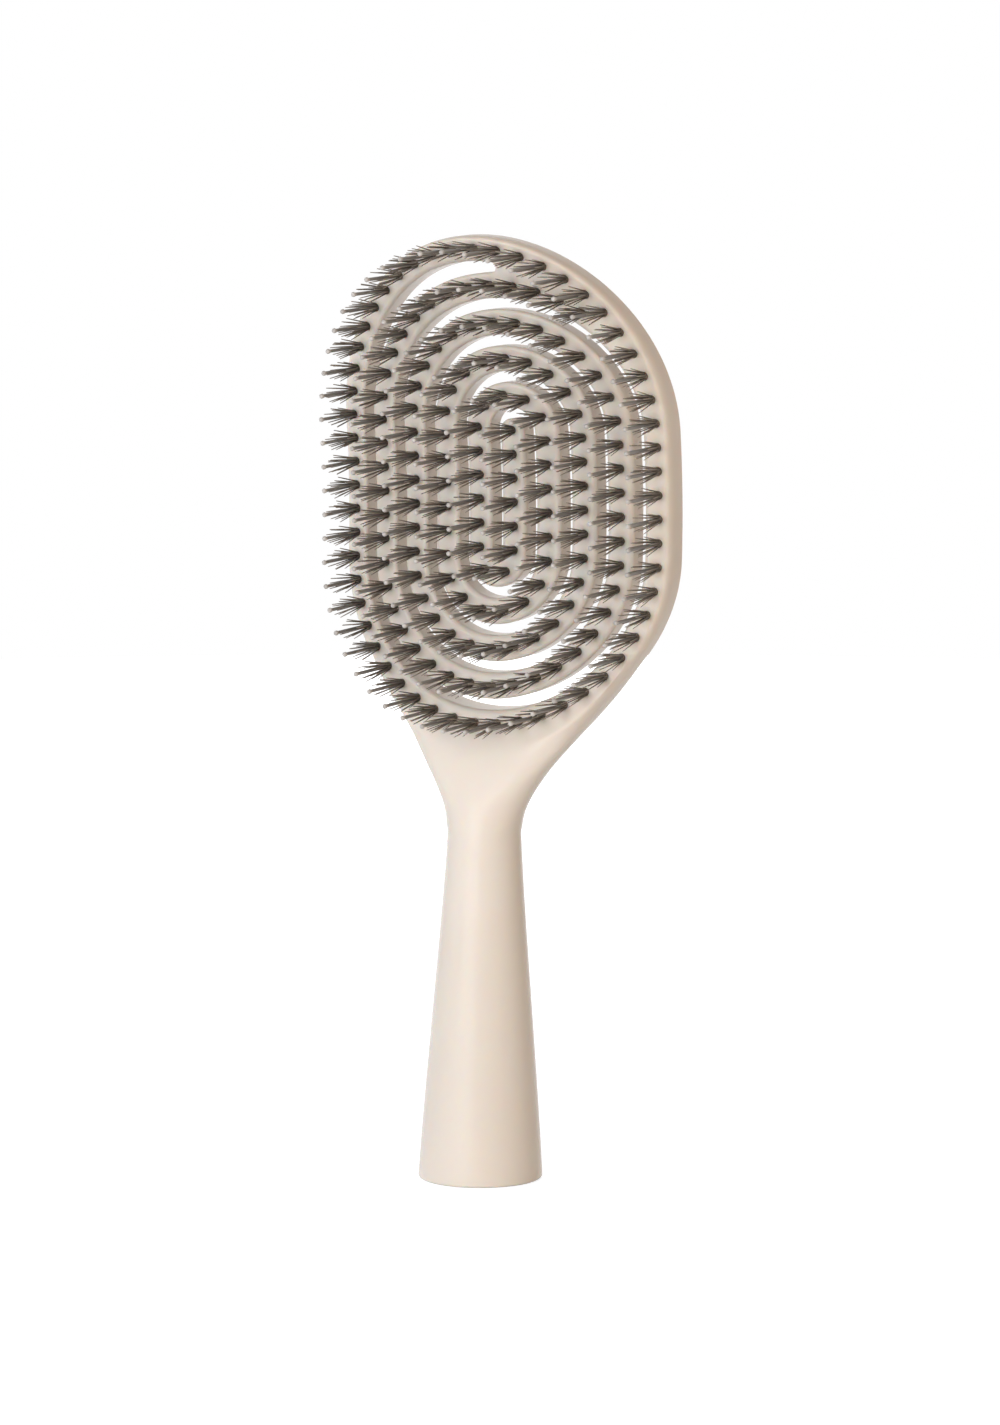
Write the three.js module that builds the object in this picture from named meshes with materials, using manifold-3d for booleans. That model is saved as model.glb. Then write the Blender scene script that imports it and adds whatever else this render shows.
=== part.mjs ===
// Vent brush with a spiral head.
//
// A hollow flared handle carries an oval rim. Inside the rim one long band winds inwards as a
// spiral, joined to the rim only at the upper right and free at its middle, so that it gives
// under the scalp. Tufts of a stiff pin and finer bristles stand in a row along every band.
//
// Millimetres, +Z up. The brush stands on the flat end of its handle, with the origin at the
// centre of that end. The tufts point towards -Y, and +X is on the right as they face the viewer.

import * as THREE from 'three';
import { mergeVertices } from 'three/addons/utils/BufferGeometryUtils.js';
import Module from 'manifold-3d';

// Handle
const HANDLE_LENGTH = 85.7;
const HANDLE_END_RADIUS = 15.4;
const HANDLE_NECK_RADIUS = 9.1;
const FOOT_EDGE = 0.8;
const FLARE_END_Z = 30;
const FLARE_END_RADIUS = 13.6;
const FLARE_NECK_Z = 66;
const FLARE_NECK_RADIUS = 10;
const HANDLE_LEAN = 2.5;
const HANDLE_WALL = 3.8;
const CAVITY_CROWN = 14;

// End cap, a disc let into the mouth of the hollow handle
const CAP_THICKNESS = 2.4;
const CAP_LEDGE = 1.2;

// Neck, which flares from the round handle into the flat rim; its section is a superellipse
const NECK_TO_HEAD = 68.3;
const NECK_PULL_LOWER = 13;
const NECK_PULL_UPPER = 23;
const NECK_MEETS_RIM = THREE.MathUtils.degToRad(32);
const ROUND = 2;
const NECK_SQUARENESS = 3;

// Head: rows of tufts at one pitch, in straight columns that round arcs join
const ROW_PITCH = 9.08;
const COIL_TURNS = 4;
const COLUMN_LENGTH = 31.05;
const BAND_WIDTH = 6.4;
const BAND_DEPTH = 6.5;
const RIM_DEPTH = 7.5;
const BAND_BEVEL = 1;
const ROOT_MERGE = THREE.MathUtils.degToRad(15);
const ROOT_TUFTS_END = THREE.MathUtils.degToRad(50);
const ROOT_TUFTS = 4;

// The face of the head is crowned from side to side and bowed towards the tufts lengthwise
const CROWN_RADIUS = 157;
const BOW_RADIUS = 170;
const BOW_RISE = 9.2;
const FACE_SET_BACK = 9.8;

// Tufts, at one pitch along the coil from its tip and, as nearly as the loop allows, round the rim
const TUFT_PITCH = 5.96;
const COIL_FIRST_TUFT = 2.9;
const RIM_FIRST_SHARE = 0.71;
const PIN_LENGTH = 18.9;
const PIN_RADIUS = 0.55;
const BRISTLE_LENGTH = 14.5;
const BRISTLE_RADIUS = 0.35;
const BRISTLE_LEAN = THREE.MathUtils.degToRad(10);
const STRAND_SPACING = 0.2;
const STRAND_SIDES = { pin: 4, bristle: 3 };
const SLICE_DEPTH = 1.2;

// Fits
const CLEARANCE = 0.3;
const OVERRUN = 2;
const SKIN_STEP = 0.1;
const MERGE_DISTANCE = 1e-4;

// Facets
const ARC_STEP = THREE.MathUtils.degToRad(12);
const COLUMN_STEPS = 4;
const HANDLE_STEPS = 6;
const NECK_STEPS = 10;
const ROUND_SIDES = 24;

// Places worked out from the sizes
const lowerZ = HANDLE_LENGTH + NECK_TO_HEAD;
const upperZ = lowerZ + COLUMN_LENGTH;
const bowZ = lowerZ + BOW_RISE;
const halfBand = BAND_WIDTH / 2;
const tipZ = upperZ + halfBand;
const columnX = (turn) => (turn + 0.5) * ROW_PITCH;
const rimRadius = columnX(COIL_TURNS);
const rimOuterRadius = rimRadius + halfBand;
const bristleOffset = PIN_RADIUS + STRAND_SPACING + BRISTLE_RADIUS;
const coreFront = SLICE_DEPTH + CLEARANCE;
const capRadius = HANDLE_END_RADIUS - HANDLE_WALL + CAP_LEDGE;
const cutReach = rimOuterRadius;

const faceY = (x, z) =>
  FACE_SET_BACK + x ** 2 / (2 * CROWN_RADIUS) - (z - bowZ) ** 2 / (2 * BOW_RADIUS);

const wasm = await Module();
wasm.setup();

// Solids

function toSolid(geometry) {
  const bare = geometry.clone();
  bare.deleteAttribute('normal');
  bare.deleteAttribute('uv');
  const merged = mergeVertices(bare, MERGE_DISTANCE);
  const vertProperties = new Float32Array(merged.attributes.position.array);
  const triVerts = new Uint32Array(merged.index.array);
  return new wasm.Manifold(new wasm.Mesh({ numProp: 3, vertProperties, triVerts }));
}

function toMesh(name, solid, material) {
  const { vertProperties, triVerts } = solid.getMesh();
  const geometry = new THREE.BufferGeometry();
  geometry.setAttribute('position', new THREE.BufferAttribute(vertProperties, 3));
  geometry.setIndex(new THREE.BufferAttribute(triVerts, 1));
  geometry.computeVertexNormals();
  const mesh = new THREE.Mesh(geometry, material);
  mesh.name = name;
  return mesh;
}

function signedVolume(points, triangles) {
  let six = 0;
  for (let i = 0; i < triangles.length; i += 3) {
    const [a, b, c] = [0, 1, 2].map((k) => points[triangles[i + k]]);
    six += a.dot(b.clone().cross(c));
  }
  return six / 6;
}

// Joins rings of equally many points into one closed skin, with fans over its two ends
function skin(rings, isLoop = false) {
  const sides = rings[0].length;
  const points = rings.flat();
  const triangles = [];
  const spans = isLoop ? rings.length : rings.length - 1;
  for (let ring = 0; ring < spans; ring += 1) {
    const here = ring * sides;
    const there = ((ring + 1) % rings.length) * sides;
    for (let side = 0; side < sides; side += 1) {
      const next = (side + 1) % sides;
      triangles.push(here + side, here + next, there + next);
      triangles.push(here + side, there + next, there + side);
    }
  }
  const last = (rings.length - 1) * sides;
  for (let side = 1; side < sides - 1 && !isLoop; side += 1) {
    triangles.push(0, side + 1, side);
    triangles.push(last, last + side, last + side + 1);
  }
  if (signedVolume(points, triangles) < 0) {
    triangles.reverse();
  }
  const geometry = new THREE.BufferGeometry().setFromPoints(points);
  geometry.setIndex(triangles);
  return toSolid(geometry);
}

function lathe(profile) {
  const outline = profile.map(([radius, z]) => new THREE.Vector2(radius, z));
  const geometry = new THREE.LatheGeometry(outline, ROUND_SIDES);
  geometry.rotateX(Math.PI / 2);
  return toSolid(geometry);
}

// Paths of the rows, drawn in the plane of X and Z

function straight(x, fromZ, toZ) {
  return new THREE.LineCurve(new THREE.Vector2(x, fromZ), new THREE.Vector2(x, toZ));
}

function arc(x, z, width, height, fromAngle, toAngle) {
  return new THREE.EllipseCurve(x, z, width, height, fromAngle, toAngle, fromAngle > toAngle);
}

function joinStretches(stretches) {
  const path = new THREE.CurvePath();
  stretches.forEach((stretch) => path.add(stretch));
  return path;
}

// From the free tip outwards: each arc at the top steps out by one row
function coilPath() {
  const stretches = [straight(columnX(0), tipZ, lowerZ)];
  for (let turn = 0; turn < COIL_TURNS; turn += 1) {
    const isLast = turn === COIL_TURNS - 1;
    const radius = columnX(turn);
    const upperRadius = radius + ROW_PITCH / 2;
    stretches.push(arc(0, lowerZ, radius, radius, 0, -Math.PI));
    stretches.push(straight(-radius, lowerZ, upperZ));
    stretches.push(
      arc(ROW_PITCH / 2, upperZ, upperRadius, upperRadius, Math.PI, isLast ? ROOT_MERGE : 0),
    );
    if (!isLast) {
      stretches.push(straight(columnX(turn + 1), upperZ, lowerZ));
    }
  }
  return joinStretches(stretches);
}

function rimPath() {
  const height = rimRadius + ROW_PITCH / 2;
  return joinStretches([
    straight(rimRadius, lowerZ, upperZ),
    arc(0, upperZ, rimRadius, height, 0, Math.PI),
    straight(-rimRadius, upperZ, lowerZ),
    arc(0, lowerZ, rimRadius, rimRadius, Math.PI, 2 * Math.PI),
  ]);
}

function placeAt(path, length) {
  const share = THREE.MathUtils.clamp(length / path.getLength(), 0, 1);
  const point = path.getPoint(share);
  const tangent = path.getTangent(share);
  return { point, across: new THREE.Vector2(-tangent.y, tangent.x) };
}

function stretchEnds(path) {
  const ends = path.getCurveLengths();
  return path.curves.map((stretch, i) => ({ stretch, from: i ? ends[i - 1] : 0, to: ends[i] }));
}

function stretchSteps(stretch) {
  if (stretch.isLineCurve) {
    return COLUMN_STEPS;
  }
  return Math.ceil(Math.abs(stretch.aEndAngle - stretch.aStartAngle) / ARC_STEP);
}

// Places along a path between two lengths, close enough together for its bends
function stations(path, from, to) {
  const lengths = [];
  for (const { stretch, from: start, to: end } of stretchEnds(path)) {
    const steps = stretchSteps(stretch);
    for (let step = 0; step < steps; step += 1) {
      lengths.push(start + ((end - start) * step) / steps);
    }
  }
  const inside = lengths.filter((length) => length > from + CLEARANCE && length < to - CLEARANCE);
  return [from, ...inside, to].map((length) => placeAt(path, length));
}

// A section of the head swept along a row; each section point is [across the row, behind the face]
function sweep(places, section, isLoop = false) {
  const rings = places.map(({ point, across }) =>
    section.map(([offset, depth]) => {
      const spot = point.clone().addScaledVector(across, offset);
      return new THREE.Vector3(spot.x, faceY(spot.x, spot.y) + depth, spot.y);
    }),
  );
  return skin(rings, isLoop);
}

function block(half, front, back) {
  return [[-half, front], [half, front], [half, back], [-half, back]];
}

// The band behind its front slice, with its back edges bevelled
function coreSection(depth, inset = 0) {
  const front = coreFront + inset;
  const back = depth - inset;
  const bevel = Math.min(BAND_BEVEL, (depth - coreFront) / 4);
  return [
    [-halfBand, front], [halfBand, front], [halfBand, back - bevel],
    [halfBand - bevel, back], [bevel - halfBand, back], [-halfBand, back - bevel],
  ];
}

// The front slice of the band, in which the tufts stand, with its front edges bevelled
function sliceSection(inset = 0) {
  const bevel = Math.min(BAND_BEVEL, SLICE_DEPTH / 2);
  const back = SLICE_DEPTH - inset;
  return [
    [-halfBand, inset + bevel], [bevel - halfBand, inset], [halfBand - bevel, inset],
    [halfBand, inset + bevel], [halfBand, back], [-halfBand, back],
  ];
}

// Tufts

// Lengths along a row at which its tufts stand
function tuftLengths(first, end, pitch) {
  const count = Math.floor((end - first) / pitch) + 1;
  return Array.from({ length: count }, (_, i) => first + i * pitch);
}

function rimTuftLengths(path) {
  const total = path.getLength();
  const pitch = total / Math.round(total / TUFT_PITCH);
  return tuftLengths(pitch * RIM_FIRST_SHARE, total, pitch);
}

function strand(geometry, foot, direction, height) {
  const up = new THREE.Vector3(0, 1, 0);
  geometry.translate(0, height / 2, 0);
  geometry.applyQuaternion(new THREE.Quaternion().setFromUnitVectors(up, direction));
  geometry.translate(foot.x, foot.y, foot.z);
  return toSolid(geometry);
}

// One stiff pin straight out of the face, and one finer bristle that leans to one side of the row
function tuft(place, side) {
  const root = SLICE_DEPTH / 2;
  const footAt = (offset) => {
    const spot = place.point.clone().addScaledVector(place.across, offset);
    return new THREE.Vector3(spot.x, faceY(spot.x, spot.y) + root, spot.y);
  };
  const pinHeight = PIN_LENGTH + root;
  const bristleHeight = BRISTLE_LENGTH + root;
  const sideways = new THREE.Vector3(place.across.x, 0, place.across.y);
  const forwards = new THREE.Vector3(0, -1, 0);
  const leaning = forwards.clone().multiplyScalar(Math.cos(BRISTLE_LEAN));
  leaning.addScaledVector(sideways, side * Math.sin(BRISTLE_LEAN));
  return [
    strand(
      new THREE.CylinderGeometry(PIN_RADIUS, PIN_RADIUS, pinHeight, STRAND_SIDES.pin),
      footAt(0), forwards, pinHeight,
    ),
    strand(
      new THREE.ConeGeometry(BRISTLE_RADIUS, bristleHeight, STRAND_SIDES.bristle),
      footAt(side * bristleOffset), leaning, bristleHeight,
    ),
  ];
}

const leanInTurn = (i) => (i % 2 ? 1 : -1);

// On the rim this is outwards and on the coil inwards, so the rim and the root beside it stay clear
const leanApart = () => -1;

function addTufts(slice, path, lengths, sideOf) {
  const strands = lengths.flatMap((length, i) => tuft(placeAt(path, length), sideOf(i)));
  return strands.reduce((whole, piece) => whole.add(piece), slice);
}

// Frame

// A level ring of rounded section between a front and a back, which may vary across it
function ringAt(z, halfWidth, squareness, frontY, backY) {
  const ring = [];
  const rounded = (value) => Math.sign(value) * Math.abs(value) ** (2 / squareness);
  for (let side = 0; side < ROUND_SIDES; side += 1) {
    const angle = (2 * Math.PI * side) / ROUND_SIDES;
    const x = halfWidth * rounded(Math.cos(angle));
    const share = (1 + rounded(Math.sin(angle))) / 2;
    ring.push(new THREE.Vector3(x, THREE.MathUtils.lerp(frontY(x), backY(x), share), z));
  }
  return ring;
}

// A round ring about the axis of the handle, which leans back a little towards the neck
function handleRing(radius, z) {
  const axisY = (HANDLE_LEAN * z) / HANDLE_LENGTH;
  return ringAt(z, radius, ROUND, () => axisY - radius, () => axisY + radius);
}

function handleProfile() {
  return new THREE.CubicBezierCurve(
    new THREE.Vector2(HANDLE_END_RADIUS, FOOT_EDGE),
    new THREE.Vector2(FLARE_END_RADIUS, FLARE_END_Z),
    new THREE.Vector2(FLARE_NECK_RADIUS, FLARE_NECK_Z),
    new THREE.Vector2(HANDLE_NECK_RADIUS, HANDLE_LENGTH),
  );
}

// The outline of the neck runs straight up from the handle and meets the rim's edge smoothly
function neckProfile() {
  const meeting = new THREE.Vector2(Math.cos(NECK_MEETS_RIM), -Math.sin(NECK_MEETS_RIM));
  meeting.multiplyScalar(rimOuterRadius).add(new THREE.Vector2(0, lowerZ));
  const along = new THREE.Vector2(Math.sin(NECK_MEETS_RIM), Math.cos(NECK_MEETS_RIM));
  return new THREE.CubicBezierCurve(
    new THREE.Vector2(HANDLE_NECK_RADIUS, HANDLE_LENGTH),
    new THREE.Vector2(HANDLE_NECK_RADIUS, HANDLE_LENGTH + NECK_PULL_LOWER),
    meeting.clone().addScaledVector(along, -NECK_PULL_UPPER),
    meeting,
  );
}

// The front of the neck is level with the rim at its lowest row, and the back further up
function handleAndNeck() {
  const rings = [handleRing(HANDLE_END_RADIUS - FOOT_EDGE, 0)];
  for (const { x: radius, y: z } of handleProfile().getPoints(HANDLE_STEPS)) {
    rings.push(handleRing(radius, z));
  }
  const profile = neckProfile();
  const rimBottomZ = lowerZ - rimRadius;
  const meetingZ = profile.v3.y;
  const { smoothstep, lerp } = THREE.MathUtils;
  for (const { x: halfWidth, y: z } of profile.getPoints(NECK_STEPS).slice(1)) {
    const atFront = smoothstep(z, HANDLE_LENGTH, rimBottomZ);
    const atBack = smoothstep(z, HANDLE_LENGTH, meetingZ);
    const faceAt = (x, level) => faceY(x, Math.max(z, level));
    const frontY = (x) =>
      lerp(HANDLE_LEAN - HANDLE_NECK_RADIUS, faceAt(x, rimBottomZ) + SKIN_STEP, atFront);
    const backY = (x) =>
      lerp(HANDLE_LEAN + HANDLE_NECK_RADIUS, faceAt(x, meetingZ) + RIM_DEPTH - SKIN_STEP, atBack);
    rings.push(ringAt(z, halfWidth, lerp(ROUND, NECK_SQUARENESS, atFront), frontY, backY));
  }
  return skin(rings);
}

// Everything within the rim's lower arc, so that the neck stops at the rim's inner edge
function rimWindow() {
  const outline = new THREE.Shape();
  outline.absarc(0, -lowerZ, rimRadius - halfBand + SKIN_STEP, 0, Math.PI, false);
  const geometry = new THREE.ExtrudeGeometry(outline, {
    depth: 2 * cutReach, bevelEnabled: false, curveSegments: Math.ceil(Math.PI / ARC_STEP),
  });
  geometry.translate(0, 0, -cutReach);
  geometry.rotateX(-Math.PI / 2);
  return toSolid(geometry);
}

// Hollow of the handle, with a wider mouth where the end cap is let in
function handleHollow() {
  const seatZ = CAP_THICKNESS + CLEARANCE;
  const topZ = HANDLE_LENGTH - CAVITY_CROWN;
  const mouth = lathe([
    [0, -OVERRUN], [capRadius + CLEARANCE, -OVERRUN], [capRadius + CLEARANCE, seatZ], [0, seatZ],
  ]);
  const rings = [handleRing(HANDLE_END_RADIUS - HANDLE_WALL, seatZ - OVERRUN)];
  const wall = handleProfile().getPoints(HANDLE_STEPS);
  for (const { x: radius, y: z } of wall.filter((point) => point.y > seatZ && point.y < topZ)) {
    rings.push(handleRing(radius - HANDLE_WALL, z));
  }
  rings.push(handleRing(HANDLE_NECK_RADIUS - HANDLE_WALL, topZ));
  return mouth.add(skin(rings));
}

function endCap() {
  return lathe([[0, 0], [capRadius, 0], [capRadius, CAP_THICKNESS], [0, CAP_THICKNESS]]);
}

// Where the outermost turn grows out of the rim, a web fills the wedge between the two rows
function webPlaces(rootPlaces) {
  const height = rimRadius + ROW_PITCH / 2;
  return rootPlaces.map(({ point, across }) => {
    const angle = Math.atan2(point.y - upperZ, point.x);
    const onRim = new THREE.Vector2(rimRadius * Math.cos(angle), upperZ + height * Math.sin(angle));
    return { point: onRim.lerp(point, 0.5), across };
  });
}

// Assembly

const coil = coilPath();
const rim = rimPath();
const rootRadius = coil.curves.at(-1).xRadius;
const coilTuftsEnd = coil.getLength() - rootRadius * (ROOT_TUFTS_END - ROOT_MERGE);
const coilTufts = tuftLengths(COIL_FIRST_TUFT, coilTuftsEnd, TUFT_PITCH);
const rimTufts = rimTuftLengths(rim);

// The coil is parted in three, between tufts: halfway down two right-hand columns, and at its root
const columns = stretchEnds(coil).filter(({ stretch }) => stretch.isLineCurve);
const halfwayDown = ({ from, to }) =>
  coilTufts.find((length) => length > (from + to) / 2) - TUFT_PITCH / 2;
const innerEnd = halfwayDown(columns.at(-4));
const middleEnd = halfwayDown(columns.at(-2));
const outerEnd = coilTufts.at(-ROOT_TUFTS) - TUFT_PITCH / 2;
const turns = [
  { name: 'outer', from: middleEnd, to: outerEnd },
  { name: 'middle', from: innerEnd, to: middleEnd },
  { name: 'inner', from: 0, to: innerEnd },
];

const plastic = new THREE.MeshStandardMaterial({ color: 0xe4dac9, roughness: 0.28, metalness: 0 });
const capPlastic = new THREE.MeshStandardMaterial({ color: 0xded3c1, roughness: 0.35, metalness: 0 });
const bristleFibre = new THREE.MeshStandardMaterial({ color: 0x5d544b, roughness: 0.5, metalness: 0 });

function makeFrame() {
  const rimPlaces = stations(rim, 0, rim.getLength()).slice(0, -1);
  const rootPlaces = stations(coil, outerEnd + CLEARANCE / 2, coil.getLength());
  const web = webPlaces(rootPlaces);
  const pocket = block(halfBand + CLEARANCE, -cutReach, coreFront + SKIN_STEP);
  const frame = handleAndNeck()
    .subtract(rimWindow())
    .subtract(sweep(rimPlaces, pocket, true))
    .add(sweep(rimPlaces, coreSection(RIM_DEPTH), true))
    .add(sweep(rootPlaces, coreSection(BAND_DEPTH, SKIN_STEP)))
    .add(sweep(web, coreSection(BAND_DEPTH, 2 * SKIN_STEP)))
    .subtract(handleHollow());
  const slice = sweep(rimPlaces, sliceSection(), true)
    .add(sweep(rootPlaces, sliceSection(SKIN_STEP)))
    .add(sweep(web, sliceSection(2 * SKIN_STEP)));
  const onRim = addTufts(slice, rim, rimTufts, leanApart);
  const bristles = addTufts(onRim, coil, coilTufts.slice(-ROOT_TUFTS), leanApart);
  return [
    toMesh('brush_frame', frame, plastic),
    toMesh('handle_end_cap', endCap(), capPlastic),
    toMesh('rim_bristles', bristles, bristleFibre),
  ];
}

function makeTurn({ name, from, to }) {
  const start = from === 0 ? 0 : from + CLEARANCE / 2;
  const end = to - CLEARANCE / 2;
  const places = stations(coil, start, end);
  const own = coilTufts.filter((length) => length > start && length < end);
  const bristles = addTufts(sweep(places, sliceSection()), coil, own, leanInTurn);
  return [
    toMesh(`coil_${name}_turn`, sweep(places, coreSection(BAND_DEPTH)), plastic),
    toMesh(`${name}_bristles`, bristles, bristleFibre),
  ];
}

const brush = new THREE.Group();
brush.name = 'vent_brush';
brush.add(...makeFrame());
turns.forEach((turn) => brush.add(...makeTurn(turn)));

export default brush;
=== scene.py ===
# Vent brush with a spiral head: how it looks.
#
# A flared handle carries an oval rim, and inside the rim one long band winds inwards as a spiral.
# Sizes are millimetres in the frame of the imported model, and become metres where a mesh is made.
# The tufts point towards -Y, +Z runs up the handle, and the origin is the centre of its end.

import math
import random

import bmesh
import bpy
import numpy as np
from mathutils import Matrix, Vector
from mathutils.geometry import delaunay_2d_cdt


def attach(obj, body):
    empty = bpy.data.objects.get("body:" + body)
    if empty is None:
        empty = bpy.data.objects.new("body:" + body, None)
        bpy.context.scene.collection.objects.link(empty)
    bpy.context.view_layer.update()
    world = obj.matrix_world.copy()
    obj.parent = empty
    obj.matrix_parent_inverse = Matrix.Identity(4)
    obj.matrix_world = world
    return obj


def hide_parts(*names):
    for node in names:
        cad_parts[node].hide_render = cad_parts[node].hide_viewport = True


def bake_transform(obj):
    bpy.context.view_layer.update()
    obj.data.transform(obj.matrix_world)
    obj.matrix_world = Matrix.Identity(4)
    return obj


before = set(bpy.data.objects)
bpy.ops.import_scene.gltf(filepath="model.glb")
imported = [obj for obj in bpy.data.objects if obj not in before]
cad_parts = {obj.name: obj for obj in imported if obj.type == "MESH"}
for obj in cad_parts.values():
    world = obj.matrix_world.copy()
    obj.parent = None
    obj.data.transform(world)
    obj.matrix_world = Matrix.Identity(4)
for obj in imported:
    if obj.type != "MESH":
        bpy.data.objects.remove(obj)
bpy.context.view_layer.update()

MM = 0.001

# Handle and end cap
HANDLE_LENGTH = 85.7
HANDLE_END_RADIUS = 15.4
HANDLE_NECK_RADIUS = 9.1
FOOT_EDGE = 0.8
FLARE_END = (13.6, 30)
FLARE_NECK = (10, 66)
HANDLE_LEAN = 2.5
CAP_RADIUS = 12.8
CAP_THICKNESS = 2.4
CAP_EDGE = 0.3
CAP_GROOVE_RADIUS = 9
CAP_GROOVE_DEPTH = 0.3
CLEARANCE = 0.3

# Neck, with the pulls of its lines given for their lower and their upper ends
NECK_TO_HEAD = 68.3
NECK_MEETS_RIM = math.radians(32)
NECK_SIDE_PULLS = (13, 23)
NECK_MIDDLE_PULLS = (9, 9)
NECK_SIDE_SPREAD = math.radians(42)
NECK_MIDDLE = 1.5 * math.pi
NECK_EDGE_DEPTH = 4.2
NECK_SOFT_PASSES = 500
NECK_SOFT_REACH = (0.35, 0.75)

# Head
ROW_PITCH = 9.08
COIL_TURNS = 4
STRETCHES_PER_TURN = 4
COLUMN_LENGTH = 31.05
BAND_WIDTH = 6.4
BAND_DEPTH = 6.5
RIM_DEPTH = 7.5
FRONT_EDGE = 1.2
RIM_EDGE_DEPTH = 3.5
BACK_EDGE = 0.3
EDGE_SUPPORT = 0.3
CROWN_RADIUS = 157
BOW_RADIUS = 170
BOW_RISE = 9.2
FACE_SET_BACK = 9.8

# Root of the coil: where its tufts end, where it leaves the frame, and how far it bends there
ROOT_TUFTS_END = math.radians(50)
SLOT_END_X = 3.2
ROOT_CUT = math.radians(96)
ROOT_BEND_END = math.radians(125)
ROOT_DEPTH_REACH = (3.5, 7.5)

# Tufts
TUFT_PITCH = 5.96
COIL_FIRST_TUFT = 2.9
RIM_FIRST_SHARE = 0.71
HOLE_RADIUS = 1.08
HOLE_DEPTH = 2.2
# From the face inwards, as [share of the hole's radius, depth]
HOLE_LIP = ((1.2, 0), (1.1, 0.04), (1.03, 0.14), (1, 0.35))
HOLE_BOTTOM_SHARE = 0.97
PIN_LENGTH = 18.9
# From the foot of a pin to its ball
PIN_RADII = (0.5, 0.42)
BALL_RADIUS = 0.66
# Where the ball starts, as a share of half a turn, and how blunt its tip is
BALL_START = 0.2
BALL_TIP_SHARE = 0.05
BRISTLES_PER_TUFT = 17
BRISTLE_LENGTH_SPREAD = 1.2
# From the root of a bristle to its tip
BRISTLE_RADII = (0.165, 0.16, 0.15, 0.1)
# From the innermost bristle of a tuft to its outermost
BRISTLE_LENGTHS = (14, 9.5)
BRISTLE_RING = (0.62, 0.9)
BRISTLE_LEANS = (math.radians(3), math.radians(11))
# Shares of the hole's radius, in the hole and at the top
PLUG_SHARES = (0.9, 0.5)
PLUG_RISE = 0.5
# The plug takes the darkest tone of the strands: painted shade among the packed roots
PLUG_SHADE_TONE = 0
GOLDEN_TURN = math.pi * (3 - math.sqrt(5))

# Materials, with each noise given by its scale and its detail
PLASTIC_DRIFT = (25, 3)
PLASTIC_DRIFT_STOPS = (0.3, 0.7)
PLASTIC_PATCHES = (120, 4)
PLASTIC_SKIN = (1800, 2)
PLASTIC_SKIN_HEIGHT = 0.00005
PLASTIC_SPECULAR = 0.35
SCATTER_WEIGHT = 0.4
SCATTER_COLOUR = (1, 0.5, 0.25)
SCATTER_DEPTH = 0.0015
IVORY_DARK = (0.785, 0.72, 0.645)
IVORY_PALE = (0.82, 0.755, 0.68)
IVORY_ROUGHNESS = (0.22, 0.28)
IVORY_GRAIN = 0.12
CAP_DARK = (0.75, 0.68, 0.595)
CAP_PALE = (0.785, 0.715, 0.63)
CAP_ROUGHNESS = (0.4, 0.55)
CAP_GRAIN = 0.3
FIBRE_GLOSS = (400, 2)
# Colours of a bristle from root to tip: the dark near the root is painted shade inside the packed tuft
BRISTLE_COLOURS_AND_ROOT_SHADE = [(0, (0.035, 0.027, 0.018)), (0.3, (0.15, 0.123, 0.095)), (1, (0.42, 0.365, 0.31))]
BRISTLE_TONES = ((0.7, 0.68, 0.66), (1.2, 1.2, 1.2))
BRISTLE_ROUGHNESS = (0.35, 0.55)
# Colours of a pin from foot to ball: the dark near the foot is painted shade inside the packed tuft
PIN_COLOURS_AND_ROOT_SHADE = [
    (0, (0.05, 0.04, 0.03)), (0.3, (0.15, 0.14, 0.13)),
    (0.9, (0.3, 0.29, 0.28)), (0.95, (0.55, 0.53, 0.51)),
]
PIN_TONES = ((0.85, 0.85, 0.85), (1.1, 1.1, 1.1))
PIN_ROUGHNESS = (0.25, 0.4)
# Places of the two materials in a piece of tufts
BRISTLE_PLACE = 0
PIN_PLACE = 1

# Photograph's frame, and the camera fitted to it: the target point lands on the target pixel
PHOTO_SIZE = (1000, 1425)
CAMERA_TARGET = (0, 9.7, 167.7)
TARGET_PIXEL = (496.55, 500.61)
CAMERA_AZIMUTH = math.radians(24.45)
CAMERA_ELEVATION = math.radians(5.41)
CAMERA_DISTANCE = 1600
FOCAL_PIXELS = 6487.5

# Stage, in metres and watts
FLOOR_RADIUS = 1.1
FLOOR_COLOUR = (0.6, 0.6, 0.6)
FLOOR_ROUGHNESS = 0.9
FLOOR_GLOW = (0.75, 0.78, 0.81)
WORLD_COLOUR = (1, 0.68, 0.42)
WORLD_STRENGTH = 0.19
LIGHT_AIM = (0, 0, 0.14)
WHITE = (1, 1, 1)
COOL = (0.82, 0.9, 1)
WARM = (1, 0.86, 0.72)
# Each with its azimuth and elevation in degrees, distance, width, height, power and colour
LIGHTS = (
    ("left_light", -60, 12, 1.4, 0.6, 1.2, 4.7, COOL),
    ("sheen_light", -12, 5, 1.4, 1, 1.2, 7.6, COOL),
    ("front_light", 0, 3, 1.4, 0.5, 0.5, 9.5, WHITE),
    ("right_light", 66, 8, 1.4, 0.5, 1, 6, WARM),
    ("back_light", 205, 20, 1.6, 0.8, 0.8, 15, WHITE),
)
REFLECTED_LIGHT = "sheen_light"

# Fineness of the meshes
PATH_STEP = 0.1
EDGE_STEP = 0.75
EDGE_STEPS = 5
WALL_STEPS = 4
NECK_STEPS = 36
HANDLE_STEPS = 40
TIP_STEPS = 20
HOLE_SIDES = 20
PLUG_SIDES = 10
PIN_SIDES = 8
BALL_STEPS = 5
BRISTLE_SIDES = 4
ROUND_SIDES = 96
SHARP_ANGLE = math.radians(50)
MERGE_DISTANCE = 1e-6

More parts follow.
